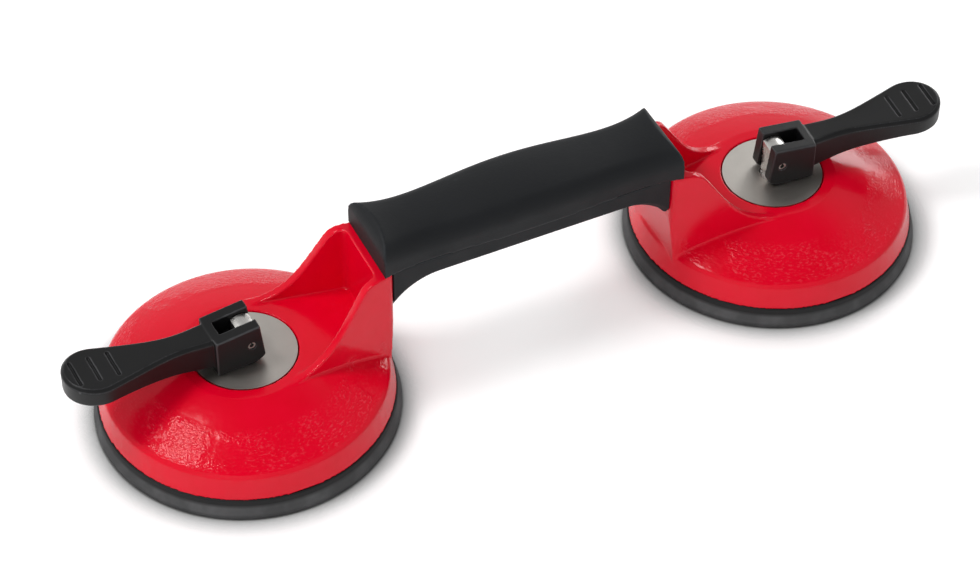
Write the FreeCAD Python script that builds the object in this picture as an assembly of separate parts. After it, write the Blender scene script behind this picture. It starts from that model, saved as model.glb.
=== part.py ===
"""Two-cup suction lifter for floor tiles and glass, in millimetres.

X runs from the left cup to the right cup, Y away from the user, Z up.
The origin is on the surface that the cups stand on, midway between them.
The cam levers are modelled in their locked position, which pulls the middle of each rubber pad up.
"""
import FreeCAD, Part
import math
import os

# Overall layout
hand_span = 120.0
grip_split_height = 61.5

# Rubber pads
pad_radius = 60.0
pad_band_height = 9.0
pad_band_width = 7.5
pad_band_chamfer = 1.0
pad_lip_width = 6.0
pad_lip_bevel = 1.6
pad_web_thickness = 3.6
pad_hollow_height = 3.4
pad_arch_height = 2.1
pad_band_foot_width = 1.5
pad_band_foot_height = 1.0
pad_centre_radius = 21.0
pad_collar_height = 2.6
lip_groove_depth = 0.8
lip_groove_width = 1.2

# Cup shells of the casting
skirt_radius_low = 58.0
skirt_radius_high = 55.7
skirt_height = 19.2
skirt_chamfer = 0.9
crown_radius = 25.6
crown_height = 30.0
dome_bulge = 1.1
cup_wall = 3.5
roof_wall = 3.4
boss_radius = 13.0
boss_length = 7.6
rib_count = 6
rib_thickness = 2.8
rib_clearance = 3.0

# Necks between the cups and the grip
neck_start = 7.0
neck_start_half_width = 25.6
neck_end_half_width = 16.4
neck_wall = 3.6
end_wall = 6.8
neck_face_inset = 1.8
neck_lean = 54.0
neck_corner_radius = 8.0
neck_corner_inset = 7.3
neck_foot_slope = 2.0
neck_foot_step = 4.0
neck_hand_corner_radius = 3.0
pocket_corner_radius = 3.0
under_pocket_length = 19.0

# Bar of the casting inside the grip
bar_half_width = 9.6
bar_depth = 6.2
bar_top_gap = 2.0
bar_end_slope = 4.5
bar_shoulder_inset = 7.5
bar_wall = 2.6
bar_roof = 3.0
bar_post_half_length = 6.5
bar_clearance = 0.3

# Grip shells
grip_wall = 3.0
grip_overhang = 4.1
grip_end_rounding = 7.6
grip_end_crest = 15.8
grip_waist_inset = 22.0
grip_half_width_middle = 17.0
grip_half_width_waist = 15.4
grip_half_width_end = 17.8
grip_height_middle = 15.3
grip_height_waist = 13.3
grip_height_end = 16.3
grip_shoulder_radius = 8.0
grip_crown_radius = 42.0
grip_crown_wall = 1.0
lower_half_width = 15.2
lower_depth = 10.3
lower_hook_run = 20.0
lower_hook_fall = 9.6
lower_hook_width = 1.0
lower_corner_chamfer = 3.0
lower_end_gap = 0.3

# Screws that hold the grip shells to the bar
screw_inset = 26.0
screw_radius = 2.0
screw_head_radius = 3.6
screw_head_height = 2.4
screw_head_chamfer = 0.8
screw_roof = 2.7
screw_clearance = 0.3
screw_head_depth = 1.0
screw_drive_width = 1.0
screw_drive_length = 4.6
screw_drive_depth = 1.2
screw_post_radius = 5.2

# Steel disc that the cam presses on, and its seat
disc_radius = 20.4
disc_gap = 0.55
disc_thickness = 3.0
disc_sink = 0.2

# Guide bush in the boss
bush_radius = 8.0
bush_flange_radius = 10.0
bush_flange_height = 1.2
running_clearance = 0.05

# Stud
stud_radius = 5.0
stud_hole_clearance = 0.35
tongue_half_length = 3.7
tongue_half_width = 3.3
stud_top_radius = 6.8
stud_end_gap = 0.4

# Insert plate, washer and nut in the middle of the pad
plate_radius = 16.0
plate_thickness = 2.5
plate_rim_gap = 0.4
washer_radius = 9.5
washer_thickness = 1.5
nut_across_flats = 17.0
nut_height = 6.6
nut_chamfer = 0.8

# Cross pin
pin_radius = 1.6
pin_bore_radius = 0.9
pin_slit = 0.6
pin_inset = 0.5

# Cam lever, measured from the cross pin
pin_height_over_block = 9.6
lever_rest_gap = 0.3
block_half_width = 8.3
block_top_inner = 9.0
block_top_outer = 7.4
block_inner_top = 3.8
block_inner_bottom = 5.8
block_outer_reach = 14.6
slot_clearance = 0.3
slot_outer_reach = 11.2
block_edge_rounding = 0.6
pad_drop = 2.0
lever_swing = 90.0
nose_clearance = 0.1
arm_root_half_width = 6.4
arm_waist_place = 28.0
arm_waist_half_width = 5.5
arm_flare_place = 46.0
arm_flare_half_width = 8.8
paddle_radius = 12.2
paddle_join_angle = 105.0
lever_reach = 72.9
arm_root_top = 7.1
arm_middle_top = 8.5
arm_tip_top = 11.6
arm_root_bottom = 8.0
arm_waist_bottom = 5.2
arm_flare_bottom = 1.2
arm_tip_bottom = -1.4
arm_edge_chamfer = 1.3
groove_count = 3
groove_spacing = 7.6
groove_width = 1.3
groove_depth = 0.9
groove_half_length = 6.6
groove_first_place = 52.2
lever_turn = {"left": 2.3, "right": -4.5}

# Places that follow from the sizes above
neck_end = skirt_radius_low - neck_face_inset
pocket_end = neck_end - end_wall
cup_place = hand_span / 2 + neck_end
disc_top = crown_height - disc_sink
recess_floor = disc_top - disc_thickness
pin_height = disc_top + lever_rest_gap + pin_height_over_block
plate_underside = pad_hollow_height + pad_web_thickness
washer_underside = plate_underside + plate_thickness
nut_underside = washer_underside + washer_thickness
boss_underside = recess_floor - boss_length
roof_underside = recess_floor - roof_wall
pad_top_in_cup = plate_underside + pad_collar_height
lower_underside = grip_split_height - lower_depth
lower_tip_height = lower_underside - lower_hook_fall
bar_underside = grip_split_height - bar_depth
bar_top = grip_split_height + grip_height_waist - grip_wall - grip_crown_wall - bar_top_gap
screw_place = hand_span / 2 - screw_inset
screw_tip = grip_split_height + grip_height_waist - screw_roof
grip_end_reach = hand_span / 2 + grip_overhang
side_turns = {"left": 180.0, "right": 0.0}
side_signs = {"left": -1.0, "right": 1.0}
far = 400.0


def vector(x, y, z):
    return FreeCAD.Vector(x, y, z)


class Outline:
    """A closed outline drawn stretch by stretch, upright in X-Z or flat in X-Y."""

    def __init__(self, across, along, flat=False):
        self.flat = flat
        self.start = self.point(across, along)
        self.here = self.start
        self.edges = []

    def point(self, across, along):
        return vector(across, along, 0) if self.flat else vector(across, 0, along)

    def line(self, across, along):
        end = self.point(across, along)
        self.edges.append(Part.LineSegment(self.here, end).toShape())
        self.here = end

    def arc(self, middle, end):
        middle, end = self.point(*middle), self.point(*end)
        self.edges.append(Part.Arc(self.here, middle, end).toShape())
        self.here = end

    def curve(self, points, first_heading=None, last_heading=None):
        places = [self.here] + [self.point(*place) for place in points]
        spline = Part.BSplineCurve()
        if first_heading:
            spline.interpolate(Points=places, InitialTangent=self.point(*first_heading),
                               FinalTangent=self.point(*last_heading))
        else:
            spline.interpolate(Points=places)
        self.edges.append(spline.toShape())
        self.here = places[-1]

    def face(self):
        if self.here.distanceToPoint(self.start) > 1e-6:
            self.edges.append(Part.LineSegment(self.here, self.start).toShape())
        return Part.Face(Part.Wire(self.edges))


def turned(outline):
    """The solid that an upright outline sweeps about the Z axis."""
    return outline.face().revolve(vector(0, 0, 0), vector(0, 0, 1), 360)


def slab(outline, half_width):
    """An upright outline made half_width thick to each side of the X-Z plane."""
    face = outline.face()
    face.translate(vector(0, -half_width, 0))
    return face.extrude(vector(0, 2 * half_width, 0))


def prism(outline, low, high):
    """A flat outline raised from one height to another."""
    face = outline.face()
    face.translate(vector(0, 0, low))
    return face.extrude(vector(0, 0, high - low))


def cylinder(radius, low, high, x=0.0):
    return Part.makeCylinder(radius, high - low, vector(x, 0, low))


def cross_cylinder(radius, half_length, height):
    """A cylinder along Y, centred on the X-Z plane."""
    return Part.makeCylinder(radius, 2 * half_length, vector(0, -half_length, height), vector(0, 1, 0))


def block(low_corner, high_corner):
    low, high = vector(*low_corner), vector(*high_corner)
    size = high - low
    return Part.makeBox(size.x, size.y, size.z, low)


def at_cup(shape, side, turn=0.0):
    """Carry a piece from the axis of a cup to its place, with +X pointing away from the grip."""
    placed = shape.copy()
    placed.rotate(vector(0, 0, 0), vector(0, 0, 1), side_turns[side] + turn)
    placed.translate(vector(side_signs[side] * cup_place, 0, 0))
    return placed


def slope_point(low, high, bulge):
    """The middle of the line between two places, raised by bulge."""
    return ((low[0] + high[0]) / 2, (low[1] + high[1]) / 2 + bulge)


# Casting: cup shells

def cup_outside():
    skirt_slope = (skirt_radius_low - skirt_radius_high) / (skirt_height - pad_band_height)
    skirt_end = (skirt_radius_high + skirt_slope * skirt_chamfer, skirt_height - skirt_chamfer)
    edge = (skirt_radius_high - skirt_chamfer, skirt_height + skirt_chamfer / 3)
    crown = (crown_radius, crown_height)
    outline = Outline(0, pad_band_height)
    outline.line(skirt_radius_low, pad_band_height)
    outline.line(*skirt_end)
    outline.line(*edge)
    outline.arc(slope_point(edge, crown, dome_bulge), crown)
    outline.line(0, crown_height)
    return turned(outline)


def cup_hollow():
    low = (skirt_radius_low - cup_wall, pad_band_height)
    shoulder = (skirt_radius_high - cup_wall, skirt_height - cup_wall)
    crown = (crown_radius + cup_wall / 2, crown_height - cup_wall)
    outline = Outline(0, pad_band_height)
    outline.line(*low)
    outline.line(*shoulder)
    outline.arc(slope_point(shoulder, crown, dome_bulge), crown)
    outline.line(crown_radius - cup_wall / 2, roof_underside)
    outline.line(0, roof_underside)
    return turned(outline)


def cup_ribs():
    ribs = []
    low = pad_top_in_cup + rib_clearance
    for number in range(rib_count):
        rib = block((boss_radius - 1, -rib_thickness / 2, low),
                    (skirt_radius_high - cup_wall / 2, rib_thickness / 2, crown_height - disc_thickness))
        rib.rotate(vector(0, 0, 0), vector(0, 0, 1), (number + 0.5) * 360 / rib_count)
        ribs.append(rib)
    return ribs


# Casting: necks

def neck_half_width(place):
    share = (place - neck_start) / (neck_end - neck_start)
    return neck_start_half_width + share * (neck_end_half_width - neck_start_half_width)


def neck_plan(start, end, inset):
    outline = Outline(-start, neck_half_width(start) - inset, flat=True)
    outline.line(-end, neck_half_width(end) - inset)
    outline.line(-end, -neck_half_width(end) + inset)
    outline.line(-start, -neck_half_width(start) + inset)
    return outline


def neck_side():
    """The neck seen from the side: a hollow-backed rise from the dome to the grip."""
    lean = math.radians(neck_lean)
    radius = neck_corner_radius
    corner_end = neck_end - neck_corner_inset

    def on_corner(angle):
        return (-corner_end + radius * math.sin(angle), grip_split_height - radius * (1 - math.cos(angle)))

    outline = Outline(-neck_start, crown_height - cup_wall)
    outline.line(-neck_start, crown_height - disc_sink)
    outline.curve([on_corner(lean)], first_heading=(-1, 0), last_heading=(-math.cos(lean), math.sin(lean)))
    outline.arc(on_corner(lean / 2), on_corner(0))
    outline.line(-neck_end, grip_split_height)
    outline.line(-neck_end, lower_tip_height - neck_foot_slope)
    outline.line(-neck_end + neck_foot_slope, skirt_height - neck_foot_step)
    outline.line(-neck_end + 2 * neck_foot_slope, pad_band_height + 1)
    outline.line(-crown_radius, pad_band_height + 1)
    return outline


def upright_edges(shape, place):
    """The vertical edges at a distance from the axis of the cup, on the neck's side."""
    return [edge for edge in shape.Edges
            if edge.BoundBox.XLength < 1e-6 and edge.BoundBox.YLength < 1e-6
            and abs(edge.Vertexes[0].X + place) < 1e-6]


def neck():
    plan = prism(neck_plan(neck_start, neck_end, 0), 0, far)
    plan = plan.makeFillet(neck_hand_corner_radius, upright_edges(plan, neck_end))
    return slab(neck_side(), neck_start_half_width + 1).common(plan)


def neck_pocket():
    pocket = prism(neck_plan(0, pocket_end, neck_wall), crown_height, far)
    return pocket.makeFillet(pocket_corner_radius, upright_edges(pocket, pocket_end))


def neck_under_pocket():
    start = pocket_end - under_pocket_length
    plan = neck_plan(start, pocket_end - 1, neck_wall + 1)
    return prism(plan, pad_band_height, crown_height - cup_wall)


def half_casting():
    """One cup with its neck, on the axis of the cup, with the neck towards -X."""
    outside = cup_outside()
    shape = outside.fuse(neck()).cut(cup_hollow())
    boss = cylinder(boss_radius, boss_underside, recess_floor)
    shape = shape.cut(neck_under_pocket())
    shape = shape.fuse([rib.common(outside) for rib in cup_ribs()] + [boss])
    seat = cylinder(disc_radius + disc_gap, recess_floor, far)
    bore = cylinder(bush_radius + running_clearance, 0, far)
    flange_seat = cylinder(bush_flange_radius + running_clearance, recess_floor - bush_flange_height, far)
    return shape.cut([neck_pocket(), seat, bore, flange_seat])


# Casting: bar inside the grip

def grip_bar():
    top = bar_top
    end = hand_span / 2 + 1
    bar_shoulder = hand_span / 2 - bar_shoulder_inset
    outline = Outline(-end, bar_underside)
    outline.line(end, bar_underside)
    outline.line(end, grip_split_height)
    outline.line(bar_shoulder, grip_split_height)
    outline.line(bar_shoulder - bar_end_slope, top)
    outline.line(-bar_shoulder + bar_end_slope, top)
    outline.line(-bar_shoulder, grip_split_height)
    outline.line(-end, grip_split_height)
    bar = slab(outline, bar_half_width)
    pocket_top = top - bar_roof
    pocket_reach = screw_place - bar_post_half_length
    side_start = screw_place + bar_post_half_length
    side_end = bar_shoulder - bar_end_slope
    inner = bar_half_width - bar_wall
    cuts = [block((-pocket_reach, -inner, bar_underside - 1), (pocket_reach, inner, pocket_top))]
    for sign in (-1, 1):
        low, high = sorted((sign * side_start, sign * side_end))
        cuts.append(block((low, -inner, bar_underside - 1), (high, inner, pocket_top)))
        cuts.append(cylinder(screw_radius + screw_clearance, 0, far, sign * screw_place))
    return bar.cut(cuts)


def body_casting():
    half = half_casting()
    return at_cup(half, "left").fuse([at_cup(half, "right"), grip_bar()]).removeSplitter()


# Grip shells

def grip_section(place, side, crest):
    """A cross-section of the upper shell: straight sides, round shoulders and a slightly crowned top."""
    shoulder = grip_shoulder_radius
    crown = grip_crown_radius
    lean = math.asin((side - shoulder) / (crown - shoulder))
    shoulder_height = crest - crown + (crown - shoulder) * math.cos(lean)

    def on_shoulder(angle, sign):
        return vector(place, sign * (side - shoulder + shoulder * math.sin(angle)),
                      shoulder_height + shoulder * math.cos(angle))

    half_turn = (lean + math.pi / 2) / 2
    foot = {sign: vector(place, sign * side, grip_split_height) for sign in (-1, 1)}
    edges = [
        Part.LineSegment(foot[-1], on_shoulder(math.pi / 2, -1)).toShape(),
        Part.Arc(on_shoulder(math.pi / 2, -1), on_shoulder(half_turn, -1), on_shoulder(lean, -1)).toShape(),
        Part.Arc(on_shoulder(lean, -1), vector(place, 0, crest), on_shoulder(lean, 1)).toShape(),
        Part.Arc(on_shoulder(lean, 1), on_shoulder(half_turn, 1), on_shoulder(math.pi / 2, 1)).toShape(),
        Part.LineSegment(on_shoulder(math.pi / 2, 1), foot[1]).toShape(),
        Part.LineSegment(foot[1], foot[-1]).toShape(),
    ]
    return Part.Wire(edges)


def grip_stations(reach):
    """Place, half width and top height of the grip at its two ends, two waists and middle."""
    waist = hand_span / 2 - grip_waist_inset
    split = grip_split_height
    return [
        (-reach, grip_half_width_end, split + grip_height_end),
        (-waist, grip_half_width_waist, split + grip_height_waist),
        (0, grip_half_width_middle, split + grip_height_middle),
        (waist, grip_half_width_waist, split + grip_height_waist),
        (reach, grip_half_width_end, split + grip_height_end),
    ]


def grip_outside():
    form = Part.makeLoft([grip_section(*station) for station in grip_stations(grip_end_reach + 1)], True, False)
    end = grip_end_reach
    crest = grip_split_height + grip_end_crest
    inner = end - grip_end_rounding
    shoulder = crest - grip_end_rounding
    diagonal = grip_end_rounding * math.sqrt(0.5)
    ends = Outline(-end, grip_split_height)
    ends.line(end, grip_split_height)
    ends.line(end, shoulder)
    ends.arc((inner + diagonal, shoulder + diagonal), (inner, crest))
    ends.line(inner, crest + grip_end_rounding)
    ends.line(-inner, crest + grip_end_rounding)
    ends.line(-inner, crest)
    ends.arc((-inner - diagonal, shoulder + diagonal), (-end, shoulder))
    return form.common(slab(ends, pad_radius))


def grip_hollow():
    """The space inside the upper shell, with flat walls and bevelled shoulders."""
    bevel = grip_wall
    low = grip_split_height - 1
    sections = []
    for place, half_width, top in grip_stations(grip_end_reach - grip_wall):
        side = half_width - grip_wall
        ceiling = top - grip_wall - grip_crown_wall
        corners = [(-side, low), (-side, ceiling - bevel), (-side + bevel, ceiling),
                   (side - bevel, ceiling), (side, ceiling - bevel), (side, low), (-side, low)]
        sections.append(Part.makePolygon([vector(place, y, z) for y, z in corners]))
    return Part.makeLoft(sections, True, True)


def grip_upper_shell():
    outside = grip_outside()
    shell = outside.cut(grip_hollow())
    posts = [cylinder(screw_post_radius, bar_top, far, sign * screw_place).common(outside) for sign in (-1, 1)]
    holes = [cylinder(screw_radius + running_clearance, bar_top - 1, screw_tip + screw_clearance, sign * screw_place)
             for sign in (-1, 1)]
    return shell.fuse(posts).cut(holes)


def lower_outline(inset):
    """The lower shell from the side: flat below the fingers, with a hooked end at each neck."""
    reach = hand_span / 2 - lower_end_gap - inset
    hook = reach - lower_hook_width
    flat = hand_span / 2 - lower_hook_run
    floor = lower_underside + inset
    tip = lower_tip_height + inset
    fall = floor - tip
    run = hook - flat
    radius = (run ** 2 + fall ** 2) / (2 * fall)
    half_angle = math.asin(run / radius) / 2
    middle = (flat + radius * math.sin(half_angle), floor - radius * (1 - math.cos(half_angle)))
    outline = Outline(-reach, grip_split_height)
    outline.line(-reach, tip)
    outline.line(-hook, tip)
    outline.arc((-middle[0], middle[1]), (-flat, floor))
    outline.line(flat, floor)
    outline.arc(middle, (hook, tip))
    outline.line(reach, tip)
    outline.line(reach, grip_split_height)
    return outline


def is_long_low_edge(edge):
    """True for the edges that run along X on the underside of the lower shell."""
    box = edge.BoundBox
    return box.XLength > 5 and box.YLength < 1e-3 and box.ZMax < lower_underside + 0.01


def grip_lower_shell():
    outside = slab(lower_outline(0), lower_half_width)
    outside = outside.makeChamfer(lower_corner_chamfer, [edge for edge in outside.Edges if is_long_low_edge(edge)])
    hollow = slab(lower_outline(grip_wall), lower_half_width - grip_wall)
    notch_half_width = bar_half_width + bar_clearance
    notch = block((-far, -notch_half_width, bar_underside), (far, notch_half_width, far))
    shell = outside.cut([hollow, notch])
    posts = []
    holes = []
    for sign in (-1, 1):
        place = sign * screw_place
        posts.append(cylinder(screw_post_radius, lower_underside + grip_wall / 2, bar_underside, place))
        holes.append(cylinder(screw_radius + screw_clearance, 0, far, place))
        head_top = lower_underside + screw_head_depth + screw_head_height
        holes.append(cylinder(screw_head_radius + screw_clearance, 0, head_top, place))
    return shell.fuse(posts).cut(holes)


def grip_screws():
    """Two pan-head screws with a cross slot, as one group."""
    low = lower_underside + screw_head_depth
    screws = []
    for sign in (-1, 1):
        place = sign * screw_place
        head = cylinder(screw_head_radius, low, low + screw_head_height, place)
        rim = [edge for edge in head.Edges if abs(edge.BoundBox.ZMax - low) < 1e-3 and edge.BoundBox.ZLength < 1e-3]
        head = head.makeChamfer(screw_head_chamfer, rim)
        shank = cylinder(screw_radius, low + screw_head_height / 2, screw_tip, place)
        screw = head.fuse(shank)
        half_long, half_wide = screw_drive_length / 2, screw_drive_width / 2
        drive_top = low + screw_drive_depth
        screws.append(screw.cut([
            block((place - half_long, -half_wide, low - 1), (place + half_long, half_wide, drive_top)),
            block((place - half_wide, -half_long, low - 1), (place + half_wide, half_long, drive_top)),
        ]))
    return Part.makeCompound(screws)


# Pieces of one cup, each on the cup's own axis

def suction_pad():
    """Rubber pad: a thick outer band, a thin domed web and a collar round the insert plate."""
    band_inner = pad_radius - pad_band_width
    lip_inner = pad_radius - pad_lip_width
    chamfer = pad_band_chamfer
    centre = pad_centre_radius
    middle = (centre + lip_inner) / 2
    web_top = plate_underside + pad_collar_height
    outline = Outline(0, pad_hollow_height)
    outline.line(centre, pad_hollow_height)
    outline.arc((middle, pad_arch_height), (lip_inner - pad_lip_bevel, pad_lip_bevel / 4))
    outline.line(lip_inner, 0)
    groove_start = lip_inner + (pad_lip_width - lip_groove_width) / 2
    outline.line(groove_start, 0)
    outline.line(groove_start, lip_groove_depth)
    outline.line(groove_start + lip_groove_width, lip_groove_depth)
    outline.line(groove_start + lip_groove_width, 0)
    outline.line(pad_radius - chamfer, 0)
    outline.line(pad_radius, chamfer)
    outline.line(pad_radius, pad_band_height - chamfer)
    outline.line(pad_radius - chamfer, pad_band_height)
    outline.line(band_inner, pad_band_height)
    outline.line(band_inner - pad_band_foot_width, pad_web_thickness + pad_band_foot_height)
    outline.arc((middle, pad_arch_height + pad_web_thickness), (centre + 1, plate_underside))
    outline.line(centre, web_top)
    outline.line(plate_radius + plate_rim_gap, web_top)
    outline.line(plate_radius + plate_rim_gap, plate_underside)
    outline.line(0, plate_underside)
    return turned(outline)


def insert_plate():
    return cylinder(plate_radius, plate_underside, washer_underside)


def stud_washer():
    ring = cylinder(washer_radius, washer_underside, nut_underside)
    return ring.cut(cylinder(stud_radius + stud_hole_clearance, 0, far))


def stud_nut():
    """A hexagon nut with chamfered corners."""
    top = nut_underside + nut_height
    corner = nut_across_flats / math.sqrt(3)
    outline = Outline(corner, 0, flat=True)
    for number in range(1, 6):
        angle = math.radians(60 * number)
        outline.line(corner * math.cos(angle), corner * math.sin(angle))
    hexagon = prism(outline, nut_underside, top)
    turning = Outline(0, nut_underside)
    turning.line(corner - nut_chamfer, nut_underside)
    turning.line(corner, nut_underside + nut_chamfer / 2)
    turning.line(corner, top - nut_chamfer / 2)
    turning.line(corner - nut_chamfer, top)
    turning.line(0, top)
    return hexagon.common(turned(turning)).cut(cylinder(stud_radius + running_clearance, 0, far))


def guide_bush():
    """A flanged plastic bush that keeps the stud upright."""
    sleeve = cylinder(bush_radius, boss_underside, recess_floor)
    flange = cylinder(bush_flange_radius, recess_floor - bush_flange_height, recess_floor)
    return sleeve.fuse(flange).cut(cylinder(stud_radius + running_clearance, 0, far))


def pressure_disc():
    disc = cylinder(disc_radius, recess_floor, disc_top)
    return disc.cut(cylinder(stud_radius + stud_hole_clearance, 0, far))


def stud():
    """A round shank below the disc and a flat tongue above it, rounded about the cross pin."""
    shoulder = disc_top - disc_sink
    shank = cylinder(stud_radius, washer_underside + stud_end_gap, shoulder)
    tongue = block((-tongue_half_length, -tongue_half_width, shoulder - 1),
                   (tongue_half_length, tongue_half_width, pin_height + stud_top_radius))
    below_pin = block((-tongue_half_length, -tongue_half_width, 0),
                      (tongue_half_length, tongue_half_width, pin_height))
    rounding = below_pin.fuse(cross_cylinder(stud_top_radius, stud_radius, pin_height))
    pin_bore = cross_cylinder(pin_radius + running_clearance, far, pin_height)
    return shank.fuse(tongue.common(rounding)).cut(pin_bore)


def cross_pin():
    """A rolled spring pin with its slit."""
    half_length = block_half_width - pin_inset
    tube = cross_cylinder(pin_radius, half_length, pin_height)
    bore = cross_cylinder(pin_bore_radius, far, pin_height)
    slit = block((-pin_slit / 2, -far, pin_height), (pin_slit / 2, far, pin_height + 2 * pin_radius))
    return tube.cut([bore, slit])


# Cam lever

def cam_limit():
    """All that the cam may fill while the stud sinks evenly as the lever swings up.

    At each angle the cam's reach towards the disc is the stud's height there less the clearance.
    """
    swing = math.radians(lever_swing)
    sink_rate = pad_drop / swing
    start_reach = pin_height_over_block + lever_rest_gap - nose_clearance

    def nose_point(angle):
        reach = start_reach - sink_rate * angle
        across = -reach * math.sin(angle) + sink_rate * math.cos(angle)
        return (across, pin_height - reach * math.cos(angle) - sink_rate * math.sin(angle))

    steps = 8
    nose = [nose_point(swing * step / steps) for step in range(steps + 1)]
    outline = Outline(*nose[0])
    outline.curve(nose[1:])
    outline.line(nose[-1][0], pin_height + lever_reach)
    outline.line(lever_reach, pin_height + lever_reach)
    outline.line(lever_reach, nose[0][1])
    return slab(outline, far)


def cam_block():
    low = pin_height - pin_height_over_block
    outline = Outline(-block_inner_bottom, low)
    outline.line(block_outer_reach, low)
    outline.line(block_outer_reach, pin_height + block_top_outer)
    outline.line(-block_inner_top, pin_height + block_top_inner)
    form = slab(outline, block_half_width).common(cam_limit())
    long_edges = [edge for edge in form.Edges
                  if edge.BoundBox.YLength < 1e-3 and edge.Length > 2 * block_edge_rounding]
    return form.makeFillet(block_edge_rounding, long_edges)


def arm_plan():
    """The lever's arm from above: a narrow waist that flares to a round paddle."""
    centre = lever_reach - paddle_radius
    angle = math.radians(paddle_join_angle)
    join = (centre + paddle_radius * math.cos(angle), paddle_radius * math.sin(angle))
    heading = (math.sin(angle), -math.cos(angle))
    start = slot_outer_reach - 2
    outline = Outline(start, -arm_root_half_width, flat=True)
    outline.curve([(arm_waist_place, -arm_waist_half_width), (arm_flare_place, -arm_flare_half_width),
                   (join[0], -join[1])], first_heading=(1, 0), last_heading=(heading[0], -heading[1]))
    outline.arc((lever_reach, 0), join)
    outline.curve([(arm_flare_place, arm_flare_half_width), (arm_waist_place, arm_waist_half_width),
                   (start, arm_root_half_width)], first_heading=(-heading[0], -heading[1]), last_heading=(-1, 0))
    return outline


def arm_side(sink=0.0):
    """The arm seen from the side, with its top lowered by sink."""
    start = slot_outer_reach - 2
    end = lever_reach + 1
    top = pin_height - sink
    outline = Outline(start, top + arm_root_top)
    outline.arc((arm_flare_place, top + arm_middle_top), (end, top + arm_tip_top))
    outline.line(end, pin_height - arm_tip_bottom)
    outline.curve([(arm_flare_place, pin_height - arm_flare_bottom),
                   (arm_waist_place, pin_height - arm_waist_bottom),
                   (start, pin_height - arm_root_bottom)])
    return outline


def lever_arm():
    arm = slab(arm_side(), 2 * paddle_radius).common(prism(arm_plan(), 0, far))
    rim = []
    for face in arm.Faces:
        if abs(face.normalAt(0.5, 0.5).z) > 0.5:
            rim += [edge for edge in face.Edges if edge.BoundBox.XLength > 1]
    return arm.makeChamfer(arm_edge_chamfer, rim)


def lever_grooves():
    """The grip grooves across the paddle, as deep everywhere as its curved top allows."""
    floor = slab(arm_side(groove_depth), 2 * paddle_radius)
    grooves = []
    for number in range(groove_count):
        place = groove_first_place + number * groove_spacing
        groove = block((place, -groove_half_length, pin_height), (place + groove_width, groove_half_length, far))
        grooves.append(groove.cut(floor))
    return grooves


def lever():
    body = cam_block().fuse(lever_arm())
    slot_half_width = tongue_half_width + slot_clearance
    slot = block((-far, -slot_half_width, 0), (slot_outer_reach, slot_half_width, far))
    pin_hole = cross_cylinder(pin_radius, far, pin_height)
    return body.cut([slot, pin_hole] + lever_grooves())


def save(shape, name):
    shape.exportStep(os.path.join("parts", name + ".step"))


def main():
    os.makedirs("parts", exist_ok=True)
    save(body_casting(), "body_casting")
    save(grip_upper_shell(), "grip_upper_shell")
    save(grip_lower_shell(), "grip_lower_shell")
    save(grip_screws(), "grip_screws")
    fixed_pieces = {
        "suction_pad": suction_pad(),
        "pressure_disc": pressure_disc(),
        "guide_bush": guide_bush(),
        "insert_plate": insert_plate(),
        "stud_washer": stud_washer(),
        "stud_nut": stud_nut(),
    }
    turning_pieces = {
        "stud": stud(),
        "cross_pin": cross_pin(),
        "lever": lever(),
    }
    for side in ("left", "right"):
        for name, shape in fixed_pieces.items():
            save(at_cup(shape, side), name + "_" + side)
        for name, shape in turning_pieces.items():
            save(at_cup(shape, side, lever_turn[side]), name + "_" + side)


main()
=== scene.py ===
"""Two-cup suction lifter: crimson die-cast body, black grip, rubber pads, steel discs and cam levers.

Metres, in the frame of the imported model: X from the left cup to the right cup, Y away from the user, Z up.
"""

import math

import bmesh
import bpy
from mathutils import Matrix, Vector


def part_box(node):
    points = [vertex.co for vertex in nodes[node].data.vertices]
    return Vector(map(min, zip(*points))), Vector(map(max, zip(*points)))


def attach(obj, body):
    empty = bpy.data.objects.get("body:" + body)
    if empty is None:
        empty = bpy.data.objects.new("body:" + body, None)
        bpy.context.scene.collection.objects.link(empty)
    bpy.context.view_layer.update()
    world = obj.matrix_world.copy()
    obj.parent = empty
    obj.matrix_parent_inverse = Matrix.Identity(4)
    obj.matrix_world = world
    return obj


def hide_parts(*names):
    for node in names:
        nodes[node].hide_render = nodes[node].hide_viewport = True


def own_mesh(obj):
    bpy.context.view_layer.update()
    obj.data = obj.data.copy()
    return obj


MM = 0.001
SIDES = {"left": -1.0, "right": 1.0}

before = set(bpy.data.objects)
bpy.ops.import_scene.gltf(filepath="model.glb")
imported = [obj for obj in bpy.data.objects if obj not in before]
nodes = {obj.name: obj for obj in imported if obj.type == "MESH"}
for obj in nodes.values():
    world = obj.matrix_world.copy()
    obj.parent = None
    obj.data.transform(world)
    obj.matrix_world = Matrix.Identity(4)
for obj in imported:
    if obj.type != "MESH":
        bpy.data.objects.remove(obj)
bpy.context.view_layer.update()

# Places read from the frame
pad_low, pad_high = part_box("suction_pad_right")
PAD_RADIUS = (pad_high.x - pad_low.x) / 2
CUP_PLACE = (pad_high.x + pad_low.x) / 2

# Sizes in millimetres that the pad's two pieces share
BAND_WIDTH = 6.0
WEB_START = 9.0
WEB_HEIGHT = 4.6

# Settings that several nodes share
SMOOTH = {"interpolation_type": "SMOOTHSTEP"}
TIMES = {"operation": "MULTIPLY"}
LARGER = {"operation": "MAXIMUM"}
COLOURS = {"data_type": "RGBA"}

# Most of a noise lies between the first two values, and the last two cut it into patches
NOISE_LOW, NOISE_HIGH = 0.3, 0.7
PATCH_LOW, PATCH_HIGH = 0.42, 0.58


# Materials

def linear(hex_colour):
    """An sRGB hex colour as the linear colour that a shader takes."""
    channels = [int(hex_colour[i:i + 2], 16) / 255 for i in (1, 3, 5)]
    return [c / 12.92 if c <= 0.04045 else ((c + 0.055) / 1.055) ** 2.4 for c in channels] + [1.0]


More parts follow.
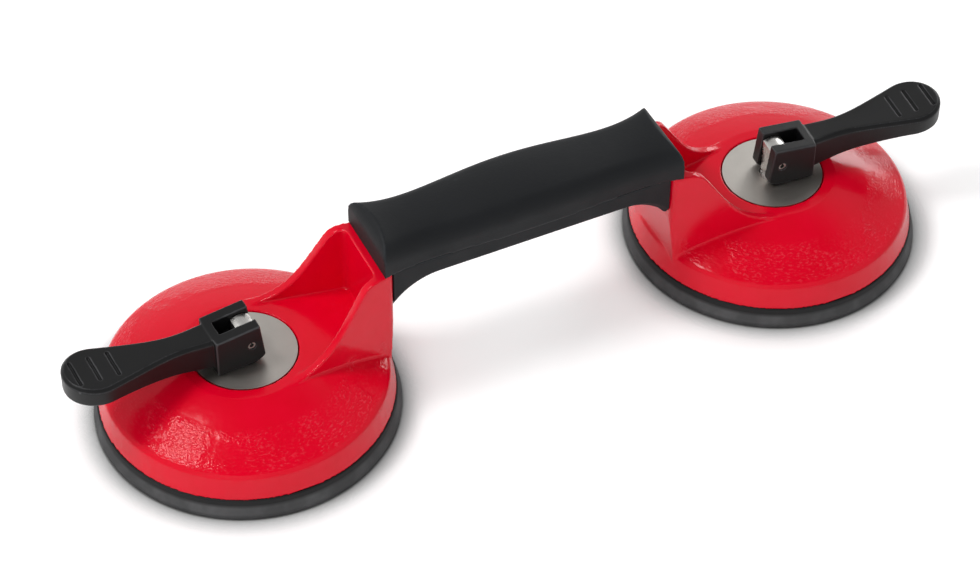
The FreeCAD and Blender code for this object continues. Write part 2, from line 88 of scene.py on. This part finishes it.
def add(tree, kind, settings, sockets):
    """Add a node with its settings, give its sockets a value or a link, and return its outputs."""
    node = tree.nodes.new("ShaderNode" + kind)
    for name, value in settings.items():
        setattr(node, name, value)
    for name, value in sockets.items():
        if isinstance(value, bpy.types.NodeSocket):
            tree.links.new(value, node.inputs[name])
        else:
            node.inputs[name].default_value = value
    return node.outputs


def empty_material(name):
    """A new material with no nodes, its tree, and the place of each point in the frame of the model."""
    material = bpy.data.materials.new(name)
    material.use_nodes = True
    tree = material.node_tree
    tree.nodes.clear()
    return material, tree, add(tree, "TexCoord", {}, {})["Object"]


def finish_shader(tree, sockets):
    """The material's one shader, with what it is given."""
    shader = add(tree, "BsdfPrincipled", {}, sockets)
    add(tree, "OutputMaterial", {}, {"Surface": shader["BSDF"]})


def cup_plan(tree, place):
    """Each point's place in plan, measured from the axis of the nearer cup."""
    parts = add(tree, "SeparateXYZ", {}, {"Vector": place})
    beside = add(tree, "Math", {"operation": "ABSOLUTE"}, {0: parts["X"]})
    along = add(tree, "Math", {"operation": "SUBTRACT"}, {0: beside["Value"], 1: CUP_PLACE})
    return add(tree, "CombineXYZ", {}, {"X": along["Value"], "Y": parts["Y"]})["Vector"]


def cup_radius(tree, place):
    """Distance from the axis of the nearer cup, in metres."""
    return add(tree, "VectorMath", {"operation": "LENGTH"}, {0: cup_plan(tree, place)})["Value"]


def powder_coated_casting():
    """Aluminium pressure casting under gloss crimson powder coat. The coat gives a wet, deep red skin with a
    faint orange peel. The rougher cast grain, drawn out round the dome, glitters through it in a band, where
    a painted glint makes the grain's tips paler."""
    # The cast grain is drawn as coarse as it needs to show in a view of the whole lifter
    peel_mm, grain_mm, patch_mm, cloud_mm = 2.6, 0.78, 14.0, 9.0
    peel_depth_mm, grain_depth_mm = 0.045, 0.33
    band_start_mm, band_full_mm, band_fade_mm, band_end_mm = 37, 41, 53, 55.5
    fade_height_mm, plain_height_mm = 27, 31
    band_radius, drawn_out = 46 * MM, 0.55
    least_grain, brightest_painted_glint = 0.25, 0.2
    painted_glint_starts, painted_glint_full = 0.52, 0.68
    material, tree, place = empty_material("crimson_powder_coat")
    radius = cup_radius(tree, place)
    height = add(tree, "SeparateXYZ", {}, {"Vector": place})["Z"]
    inside = add(tree, "MapRange", SMOOTH,
                 {0: radius, 1: band_start_mm * MM, 2: band_full_mm * MM, 3: 0.0, 4: 1.0})
    outside = add(tree, "MapRange", SMOOTH,
                  {0: radius, 1: band_fade_mm * MM, 2: band_end_mm * MM, 3: 1.0, 4: 0.0})
    below_necks = add(tree, "MapRange", SMOOTH,
                      {0: height, 1: fade_height_mm * MM, 2: plain_height_mm * MM, 3: 1.0, 4: 0.0})
    ring = add(tree, "Math", TIMES, {0: inside[0], 1: outside[0]})
    band = add(tree, "Math", TIMES, {0: ring[0], 1: below_necks[0]})
    patches = add(tree, "TexNoise", {}, {"Vector": place, "Scale": 1 / (patch_mm * MM), "Detail": 2.0})
    share = add(tree, "MapRange", SMOOTH,
                {0: patches["Fac"], 1: PATCH_LOW, 2: PATCH_HIGH, 3: least_grain, 4: 1.0})
    grain_here = add(tree, "Math", TIMES, {0: band[0], 1: share[0]})
    plan = add(tree, "SeparateXYZ", {}, {"Vector": cup_plan(tree, place)})
    angle = add(tree, "Math", {"operation": "ARCTAN2"}, {0: plan["Y"], 1: plan["X"]})
    round_cup = add(tree, "Math", TIMES, {0: angle[0], 1: band_radius * drawn_out})
    ring_place = add(tree, "CombineXYZ", {}, {"X": radius, "Y": round_cup[0], "Z": height})
    grain = add(tree, "TexNoise", {},
                {"Vector": ring_place[0], "Scale": 1 / (grain_mm * MM), "Detail": 2.5})
    grain_height = add(tree, "Math", TIMES, {0: grain["Fac"], 1: grain_here[0]})
    peel = add(tree, "TexNoise", {}, {"Vector": place, "Scale": 1 / (peel_mm * MM), "Detail": 1.5})
    peel_bump = add(tree, "Bump", {}, {"Distance": peel_depth_mm * MM, "Height": peel["Fac"]})
    grain_bump = add(tree, "Bump", {}, {"Distance": grain_depth_mm * MM, "Height": grain_height[0],
                                        "Normal": peel_bump["Normal"]})
    cloud = add(tree, "TexNoise", {}, {"Vector": place, "Scale": 1 / (cloud_mm * MM), "Detail": 3.0})
    colour = add(tree, "Mix", COLOURS, {0: cloud["Fac"], 6: linear("#d8001e"), 7: linear("#e20028")})
    # Painted glint: within the band the grain's tips are painted paler, standing for sparkle of light on the
    # grain
    painted_glint_share = add(tree, "MapRange", SMOOTH,
               {0: grain["Fac"], 1: painted_glint_starts, 2: painted_glint_full, 3: 0.0, 4: brightest_painted_glint})
    painted_highlight = add(tree, "Math", TIMES, {0: painted_glint_share[0], 1: grain_here[0]})
    with_painted_glint = add(tree, "Mix", COLOURS, {0: painted_highlight[0], 6: colour[2], 7: linear("#f2606e")})
    finish_shader(tree, {"Base Color": with_painted_glint[2], "Roughness": 0.16, "Specular IOR Level": 0.25,
                         "Normal": grain_bump["Normal"]})
    return material


def moulded_plastic(name, dark, light, edge_highlight_colour, grain_mm, grain_depth_mm, roughness):
    """Moulded plastic, such as the grip's polypropylene: even and slightly grained, with the matte skin of
    its mould, a little smoother in clouds where hands have polished it, and painted paler in patches along
    its edges as a painted highlight."""
    # The grain of a moulded skin is too fine to show, so grain_mm is as coarse as it needs to be
    cloud_mm = 14.0
    polished, matte = roughness - 0.05, roughness + 0.06
    # Pointiness is 0.5 on a flat face and a few hundredths more along a rounded edge
    edge_starts, edge_full, least_painted_highlight = 0.509, 0.532, 0.3
    material, tree, place = empty_material(name)
    cloud = add(tree, "TexNoise", {}, {"Vector": place, "Scale": 1 / (cloud_mm * MM), "Detail": 3.0})
    colour = add(tree, "Mix", COLOURS, {0: cloud["Fac"], 6: linear(dark), 7: linear(light)})
    polish = add(tree, "MapRange", {}, {0: cloud["Fac"], 1: NOISE_LOW, 2: NOISE_HIGH, 3: polished, 4: matte})
    grain = add(tree, "TexNoise", {}, {"Vector": place, "Scale": 1 / (grain_mm * MM), "Detail": 2.0})
    bump = add(tree, "Bump", {}, {"Distance": grain_depth_mm * MM, "Height": grain["Fac"]})
    # Painted highlight: convex edges are painted paler in patches, standing for light caught on the rounded
    # edges
    edge = add(tree, "NewGeometry", {}, {})["Pointiness"]
    painted_highlight = add(tree, "MapRange", SMOOTH, {0: edge, 1: edge_starts, 2: edge_full, 3: 0.0, 4: 1.0})
    patches = add(tree, "MapRange", {},
                  {0: cloud["Fac"], 1: PATCH_LOW, 2: PATCH_HIGH, 3: least_painted_highlight, 4: 1.0})
    painted_highlight_share = add(tree, "Math", TIMES, {0: painted_highlight[0], 1: patches[0]})
    with_painted_highlight = add(tree, "Mix", COLOURS, {0: painted_highlight_share[0], 6: colour[2], 7: linear(edge_highlight_colour)})
    finish_shader(tree, {"Base Color": with_painted_highlight[2], "Roughness": polish[0], "Specular IOR Level": 0.28,
                         "Normal": bump["Normal"]})
    return material


def rubber_compound():
    """Moulded black rubber: dull, with the fine turned rings of its mould, painted near black high up as
    painted shade under the skirt, and painted grey at the foot as a painted reflection of the floor, with
    dusty clouds in the grey."""
    # The rings and the grain are too fine to show, so both are as coarse as they need to be
    dust_mm, ring_mm, grain_mm = 11.0, 0.9, 0.6
    grain_depth_mm, ring_depth_mm = 0.03, 0.012
    painted_light_top_mm, painted_shade_from_mm = 4.9, 6.7
    dust_starts = 0.4
    material, tree, place = empty_material("pad_rubber")
    height = add(tree, "SeparateXYZ", {}, {"Vector": place})["Z"]
    dust = add(tree, "TexNoise", {}, {"Vector": place, "Scale": 1 / (dust_mm * MM), "Detail": 4.0})
    dusty = add(tree, "MapRange", {}, {0: dust["Fac"], 1: dust_starts, 2: NOISE_HIGH, 3: 0.0, 4: 1.0})
    # Painted light: below the first height the band is painted grey for the floor's reflection, above the
    # second near black for shade under the skirt
    painted_light_share = add(tree, "MapRange", {}, {0: height, 1: painted_light_top_mm * MM, 2: painted_shade_from_mm * MM, 3: 1.0, 4: 0.0})
    foot = add(tree, "Mix", COLOURS, {0: dusty[0], 6: linear("#414142"), 7: linear("#535354")})
    colour = add(tree, "Mix", COLOURS, {0: painted_light_share[0], 6: linear("#171718"), 7: foot[2]})
    along = add(tree, "Math", {"operation": "ADD"}, {0: cup_radius(tree, place), 1: height})
    turns = add(tree, "Math", TIMES, {0: along[0], 1: 2 * math.pi / (ring_mm * MM)})
    rings = add(tree, "Math", {"operation": "SINE"}, {0: turns[0]})
    grain = add(tree, "TexNoise", {}, {"Vector": place, "Scale": 1 / (grain_mm * MM), "Detail": 2.0})
    fine = add(tree, "Bump", {}, {"Distance": grain_depth_mm * MM, "Height": grain["Fac"]})
    ringed = add(tree, "Bump", {}, {"Distance": ring_depth_mm * MM, "Height": rings[0],
                                    "Normal": fine["Normal"]})
    finish_shader(tree, {"Base Color": colour[2], "Roughness": 0.62, "Specular IOR Level": 0.3,
                         "Normal": ringed["Normal"]})
    return material


def turned_steel():
    """Zinc-washed steel disc, faced on a lathe and tumbled: satin, with faint rings and a warm grey cast."""
    # Turning marks are about 0.1 mm apart, too fine to show, so they are drawn coarser
    ring_mm, cloud_mm, ring_depth_mm = 0.35, 7.0, 0.01
    smoothest, roughest = 0.34, 0.46
    material, tree, place = empty_material("satin_steel_disc")
    rings = add(tree, "TexNoise", {"noise_dimensions": "1D"},
                {"W": cup_radius(tree, place), "Scale": 1 / (ring_mm * MM), "Detail": 3.0})
    cloud = add(tree, "TexNoise", {}, {"Vector": place, "Scale": 1 / (cloud_mm * MM), "Detail": 3.0})
    colour = add(tree, "Mix", COLOURS, {0: cloud["Fac"], 6: linear("#cdc8c1"), 7: linear("#dad5ce")})
    satin = add(tree, "MapRange", {},
                {0: rings["Fac"], 1: NOISE_LOW, 2: NOISE_HIGH, 3: smoothest, 4: roughest})
    bump = add(tree, "Bump", {}, {"Distance": ring_depth_mm * MM, "Height": rings["Fac"]})
    finish_shader(tree, {"Base Color": colour[2], "Metallic": 1.0, "Roughness": satin[0],
                         "Normal": bump["Normal"]})
    return material


def zinc_plate(name, dark, light, smoothest, roughest):
    """Zinc plate on steel: bright, with the soft clouding of the bath along the drawn grain."""
    cloud_mm, cloud_depth_mm = 2.4, 0.004
    material, tree, place = empty_material(name)
    cloud = add(tree, "TexNoise", {}, {"Vector": place, "Scale": 1 / (cloud_mm * MM), "Detail": 2.0})
    colour = add(tree, "Mix", COLOURS, {0: cloud["Fac"], 6: linear(dark), 7: linear(light)})
    polish = add(tree, "MapRange", {},
                 {0: cloud["Fac"], 1: NOISE_LOW, 2: NOISE_HIGH, 3: smoothest, 4: roughest})
    bump = add(tree, "Bump", {}, {"Distance": cloud_depth_mm * MM, "Height": cloud["Fac"]})
    finish_shader(tree, {"Base Color": colour[2], "Metallic": 1.0, "Roughness": polish[0],
                         "Normal": bump["Normal"]})
    return material


def floor_card():
    """Matt white card. Camera, mirror and glass rays see it a little lighter, more so far from the object,
    so it stays white round the shadow, and a soft painted shadow darkens it where the pads stand close over
    it."""
    near_floor, far_floor = 0.3, 1.8
    near_lift, far_lift = 0.3, 0.55
    shade_reach_mm, full_painted_shadow_ao, no_painted_shadow_ao = 17, 0.54, 0.93
    material, tree, place = empty_material("white_card")
    away = add(tree, "VectorMath", {"operation": "LENGTH"}, {0: place})
    glow = add(tree, "MapRange", SMOOTH,
               {0: away["Value"], 1: near_floor, 2: far_floor, 3: near_lift, 4: far_lift})
    # Painted shadow: where ambient occlusion finds the pads close by, the card is painted grey and loses its
    # lift
    near = add(tree, "AmbientOcclusion", {"samples": 8}, {"Distance": shade_reach_mm * MM})
    outside_painted_shadow = add(tree, "MapRange", {}, {0: near["AO"], 1: full_painted_shadow_ao, 2: no_painted_shadow_ao, 3: 0.0, 4: 1.0})
    colour = add(tree, "Mix", COLOURS, {0: outside_painted_shadow[0], 6: linear("#5c5c5c"), 7: linear("#f7f7f7")})
    path = add(tree, "LightPath", {}, {})
    mirrored = add(tree, "Math", LARGER, {0: path["Is Glossy Ray"], 1: path["Is Transmission Ray"]})
    seen = add(tree, "Math", LARGER, {0: path["Is Camera Ray"], 1: mirrored[0]})
    seen_glow = add(tree, "Math", TIMES, {0: seen[0], 1: glow[0]})
    lift = add(tree, "Math", TIMES, {0: seen_glow[0], 1: outside_painted_shadow[0]})
    finish_shader(tree, {"Base Color": colour[2], "Roughness": 0.9, "Emission Color": (1, 1, 1, 1),
                         "Emission Strength": lift[0]})
    return material


CRIMSON = powder_coated_casting()
# The fourth colour of each plastic is the paler colour of its painted edge highlight
GRIP_BLACK = moulded_plastic("grip_polypropylene", "#0e1013", "#141619", "#25282b", 0.8, 0.05, 0.6)
LEVER_BLACK = moulded_plastic("lever_nylon", "#0d0d0e", "#121213", "#3e3e40", 0.5, 0.02, 0.42)
BUSH_WHITE = moulded_plastic("bush_acetal", "#d6d3c8", "#dedbd2", "#dedbd2", 0.8, 0.01, 0.4)
RUBBER = rubber_compound()
STEEL = turned_steel()
BRIGHT = zinc_plate("bright_stud", "#c6c3bf", "#dedcd9", 0.24, 0.34)
ZINC = zinc_plate("zinc_hardware", "#a9a9a4", "#c4c4c0", 0.28, 0.42)

FINISHES = {
    "body_casting": CRIMSON,
    "grip_upper_shell": GRIP_BLACK,
    "grip_lower_shell": GRIP_BLACK,
    "grip_screws": ZINC,
    "suction_pad": RUBBER,
    "pressure_disc": STEEL,
    "guide_bush": BUSH_WHITE,
    "insert_plate": ZINC,
    "stud_washer": ZINC,
    "stud_nut": ZINC,
    "stud": BRIGHT,
    "cross_pin": ZINC,
    "lever": LEVER_BLACK,
}


def finish_of(node_name):
    """A node's material, which is the same on both sides."""
    for side in SIDES:
        node_name = node_name.removesuffix("_" + side)
    return FINISHES[node_name]


for name, node in nodes.items():
    node.data.materials.clear()
    node.data.materials.append(finish_of(name))


# Pieces

def welded_copy(node_name, new_name):
    """A new object with the node's mesh, joined along its split edges."""
    shape = bmesh.new()
    shape.from_mesh(nodes[node_name].data)
    bmesh.ops.remove_doubles(shape, verts=shape.verts, dist=0.002 * MM)
    mesh = bpy.data.meshes.new(new_name)
    shape.to_mesh(mesh)
    shape.free()
    piece = bpy.data.objects.new(new_name, mesh)
    bpy.context.scene.collection.objects.link(piece)
    return piece


def apply_modifiers(piece):
    """Turn the piece's modifiers into its own mesh, with smooth shading."""
    dependencies = bpy.context.evaluated_depsgraph_get()
    mesh = bpy.data.meshes.new_from_object(piece.evaluated_get(dependencies))
    piece.modifiers.clear()
    piece.data = mesh
    mesh.polygons.foreach_set("use_smooth", [True] * len(mesh.polygons))


def eased_edges(node_name, width_mm):
    """Break the sharp edges of a machined node."""
    sharp_degrees = 40
    bevel = nodes[node_name].modifiers.new("eased_edges", "BEVEL")
    bevel.width = width_mm * MM
    bevel.segments = 2
    bevel.angle_limit = math.radians(sharp_degrees)
    bevel.harden_normals = True


def softened(node_name, new_name, voxel_mm, passes, body, material):
    """Stand for a moulded or cast node with a copy whose edges and inside corners are rounded."""
    piece = welded_copy(node_name, new_name)
    remesh = piece.modifiers.new("even_skin", "REMESH")
    remesh.mode = "VOXEL"
    remesh.voxel_size = voxel_mm * MM
    smooth = piece.modifiers.new("soft_edges", "SMOOTH")
    smooth.factor = 0.5
    smooth.iterations = passes
    apply_modifiers(piece)
    piece.data.materials.clear()
    piece.data.materials.append(material)
    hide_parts(node_name)
    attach(piece, body)


def turned(name, outline, cup_x, segments=192):
    """A closed outline of (radius, height) points in millimetres, turned about the axis of a cup."""
    shape = bmesh.new()
    rings = []
    for step in range(segments):
        angle = 2 * math.pi * step / segments
        across, along = math.cos(angle), math.sin(angle)
        rings.append([shape.verts.new((cup_x + radius * MM * across, radius * MM * along, z * MM))
                      for radius, z in outline])
    count = len(outline)
    for step in range(segments):
        here, there = rings[step], rings[(step + 1) % segments]
        for i in range(count):
            j = (i + 1) % count
            shape.faces.new((here[i], there[i], there[j], here[j]))
    bmesh.ops.recalc_face_normals(shape, faces=shape.faces)
    mesh = bpy.data.meshes.new(name)
    shape.to_mesh(mesh)
    shape.free()
    mesh.polygons.foreach_set("use_smooth", [True] * len(mesh.polygons))
    piece = bpy.data.objects.new(name, mesh)
    bpy.context.scene.collection.objects.link(piece)
    return piece


def rounded(outline, radii, steps=5):
    """The closed outline with each corner replaced by an arc of its radius in millimetres."""
    points = []
    count = len(outline)
    for i, (corner, radius) in enumerate(zip(outline, radii)):
        if radius == 0:
            points.append(corner)
            continue
        corner = Vector(corner)
        before = (Vector(outline[i - 1]) - corner).normalized()
        after = (Vector(outline[(i + 1) % count]) - corner).normalized()
        half = before.angle(after) / 2
        reach = radius / math.tan(half)
        centre = corner + (before + after).normalized() * radius / math.sin(half)
        first, last = corner + before * reach - centre, corner + after * reach - centre
        sweep = first.angle_signed(last)
        for step in range(steps + 1):
            turn = Matrix.Rotation(-sweep * step / steps, 2)
            points.append(tuple(centre + turn @ first))
    return points


def pad_band(side):
    """The pad's thick outer band, with a flared foot, a sealing lip and the groove in the lip."""
    radius = PAD_RADIUS / MM
    height, shoulder = 9.0, 7.5
    groove_start, groove_end, groove_depth = 3.6, 2.4, 0.8
    foot_tuck, foot_height, flare, flare_top = 0.2, 2.4, 1.5, 5.4
    outline = [(radius - BAND_WIDTH, 0.0), (radius - groove_start, 0.0),
               (radius - groove_start, groove_depth), (radius - groove_end, groove_depth),
               (radius - groove_end, 0.0), (radius - foot_tuck, 0.0), (radius, foot_height),
               (radius - flare, flare_top), (radius - flare, height), (radius - shoulder, height),
               (radius - WEB_START, WEB_HEIGHT)]
    radii = [0.4, 0.3, 0.2, 0.2, 0.3, 0.8, 1.0, 1.2, 0.7, 0.5, 0]
    piece = turned("pad_band_" + side, rounded(outline, radii), SIDES[side] * CUP_PLACE)
    piece.data.materials.append(RUBBER)
    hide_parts("suction_pad_" + side)
    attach(piece, "casting")


def pad_web(side):
    """The pad's thin web and collar, fixed here to the casting; on the real pad they sink with the stud when
    the lever goes up.
    """
    radius = PAD_RADIUS / MM
    centre, middle_low, middle_top = 0.2, 3.4, 7.0
    collar_in, collar_out, collar_top = 16.4, 21.0, 9.6
    underside = [(centre, middle_low), (collar_out, middle_low), (30.0, 3.0), (40.0, 1.9), (48.0, 0.8),
                 (53.0, 0.2), (radius - BAND_WIDTH, 0.0)]
    top = [(radius - BAND_WIDTH, 3.0), (radius - WEB_START, WEB_HEIGHT), (43.0, 5.3), (32.0, 6.4),
           (22.0, middle_top)]
    collar = [(collar_out, collar_top), (collar_in, collar_top), (collar_in, middle_top),
              (centre, middle_top)]
    piece = turned("pad_web_" + side, underside + top + collar, SIDES[side] * CUP_PLACE)
    piece.data.materials.append(RUBBER)
    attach(piece, "casting")
    # 5 of the middle's 7 mm are left when the stud has gone down 2 mm
    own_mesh(piece)


for side in SIDES:
    pad_band(side)
    pad_web(side)
    eased_edges("stud_" + side, 0.3)
    eased_edges("pressure_disc_" + side, 0.25)
softened("body_casting", "crimson_casting", 0.5, 3, "casting", CRIMSON)
softened("grip_upper_shell", "grip_cover", 0.5, 6, "casting", GRIP_BLACK)
softened("grip_lower_shell", "grip_base", 0.5, 6, "casting", GRIP_BLACK)
for side in SIDES:
    softened("lever_" + side, "cam_lever_moulding_" + side, 0.32, 5, "cam_lever_" + side,
             LEVER_BLACK)


# Floor, light and camera

def floor():
    """A plain floor of white card."""
    mesh = bpy.data.meshes.new("floor")
    half = 6.0
    corners = [(-half, -half, 0), (half, -half, 0), (half, half, 0), (-half, half, 0)]
    mesh.from_pydata(corners, [], [(0, 1, 2, 3)])
    mesh.materials.append(floor_card())
    plane = bpy.data.objects.new("floor", mesh)
    bpy.context.scene.collection.objects.link(plane)


def softbox(name, place, aim, size, watts, mirrored=True):
    """A square lamp, its size in metres, turned to its aim. One not mirrored leaves no patch in gloss."""
    lamp = bpy.data.lights.new(name, "AREA")
    lamp.shape = "SQUARE"
    lamp.size = size
    lamp.energy = watts
    holder = bpy.data.objects.new(name, lamp)
    holder.location = place
    holder.visible_glossy = mirrored
    holder.rotation_mode = "QUATERNION"
    holder.rotation_quaternion = (Vector(aim) - Vector(place)).to_track_quat("-Z", "Y")
    bpy.context.scene.collection.objects.link(holder)


def sky():
    """A studio that is bright round the horizon and dim overhead. Camera rays see it as white."""
    horizon_light, overhead_light = 0.6, 0.06
    # Upward is 0 at the horizon and 1 overhead
    dim_from, dim_to = 0.73, 0.92
    world = bpy.data.worlds.new("studio")
    bpy.context.scene.world = world
    world.use_nodes = True
    tree = world.node_tree
    background = tree.nodes["Background"]
    background.inputs["Color"].default_value = (1, 1, 1, 1)
    direction = add(tree, "TexCoord", {}, {})["Generated"]
    upward = add(tree, "SeparateXYZ", {}, {"Vector": direction})["Z"]
    room = add(tree, "MapRange", SMOOTH,
               {0: upward, 1: dim_from, 2: dim_to, 3: horizon_light, 4: overhead_light})
    seen = add(tree, "LightPath", {}, {})["Is Camera Ray"]
    strength = add(tree, "Math", LARGER, {0: room[0], 1: seen})
    tree.links.new(strength[0], background.inputs["Strength"])


def camera():
    """The photograph's camera, found by fitting the cups, discs and grip to it."""
    place = Vector((-0.3747, -0.7410, 0.8529))
    right = Vector((0.90025, -0.43539, 0.00512))
    up = Vector((0.30703, 0.64308, 0.70155))
    back = right.cross(up).normalized()
    lens = bpy.data.cameras.new("camera")
    lens.lens = 108.53
    lens.sensor_width = 36.0
    holder = bpy.data.objects.new("camera", lens)
    holder.matrix_world = Matrix.Translation(place) @ Matrix((right, up, back)).transposed().to_4x4()
    bpy.context.scene.collection.objects.link(holder)
    bpy.context.scene.camera = holder


floor()
sky()
softbox("left_softbox", (-0.61, 0.236, 1.104), (-0.154, -0.027, 0.025), 0.34, 6.6)
softbox("right_rim_softbox", (0.80, 0.49, 0.41), (0.12, 0.0, 0.0), 0.30, 2.0)
softbox("overhead_scrim", (0.05, 0.10, 1.30), (0.0, 0.0, 0.0), 1.1, 1.8, mirrored=False)
softbox("front_fill", (-0.85, -0.90, 0.70), (0.0, 0.0, 0.0), 0.9, 4.6, mirrored=False)
camera()

bpy.context.scene.view_settings.view_transform = "Standard"
